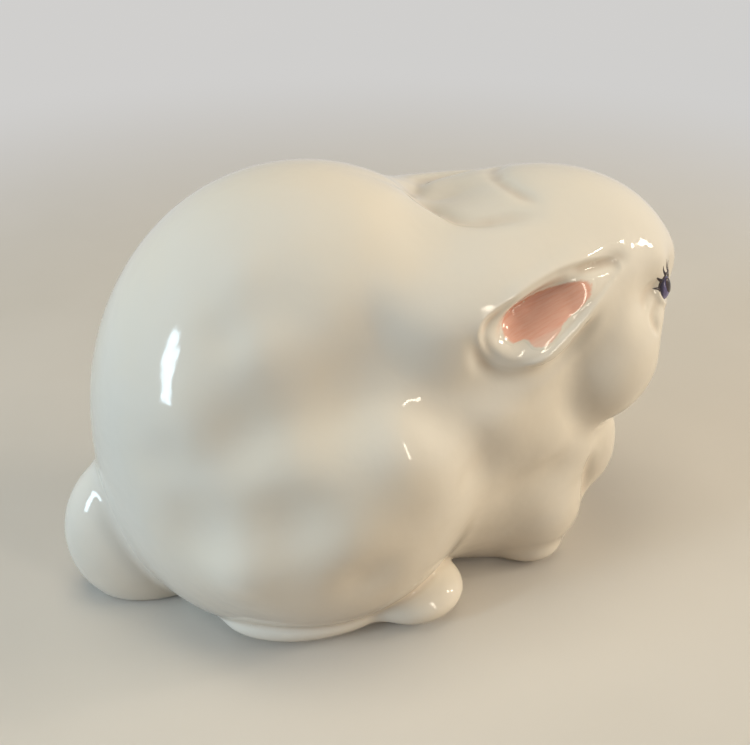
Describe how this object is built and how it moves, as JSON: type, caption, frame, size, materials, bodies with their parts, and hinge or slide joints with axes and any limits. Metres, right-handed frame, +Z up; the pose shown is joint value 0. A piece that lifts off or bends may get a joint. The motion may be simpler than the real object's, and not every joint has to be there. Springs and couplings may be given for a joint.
{
  "type": "rabbit figurine",
  "caption": "Crouching glazed rabbit figurine, hollow with a flat base and drain hole, laid-back ears with pink linings and painted eyes.",
  "frame": {"origin": "on the flat base, on the centre plane, below the rabbit's middle; z = 0 is the surface it stands on", "axes": "+Z up, the rabbit faces -Y with its tail to +Y, +X is the rabbit's own left side"},
  "size_m": [0.0852, 0.1443, 0.0985],
  "materials": {
    "glaze": "gloss clear glaze over white earthenware",
    "pink": "pink underglaze brushed on under clear gloss glaze",
    "violet": "violet-blue underglaze under clear gloss glaze",
    "dark": "brown-black underglaze under clear gloss glaze"
  },
  "bodies": {
    "root": {"body_shell": "glaze", "head_shell": "glaze", "ear_left": "glaze", "ear_right": "glaze", "tail": "glaze", "chest_ruff": "glaze", "hind_foot_left": "glaze", "hind_foot_right": "glaze", "fore_paw_left": "glaze", "fore_paw_right": "glaze", "ear_lining_left": "pink", "ear_lining_right": "pink", "nose": "pink", "eye_left": "violet", "eye_right": "violet", "pupil_left": "dark", "pupil_right": "dark", "lashes_left": "dark", "lashes_right": "dark"}
  },
  "joints": []
}
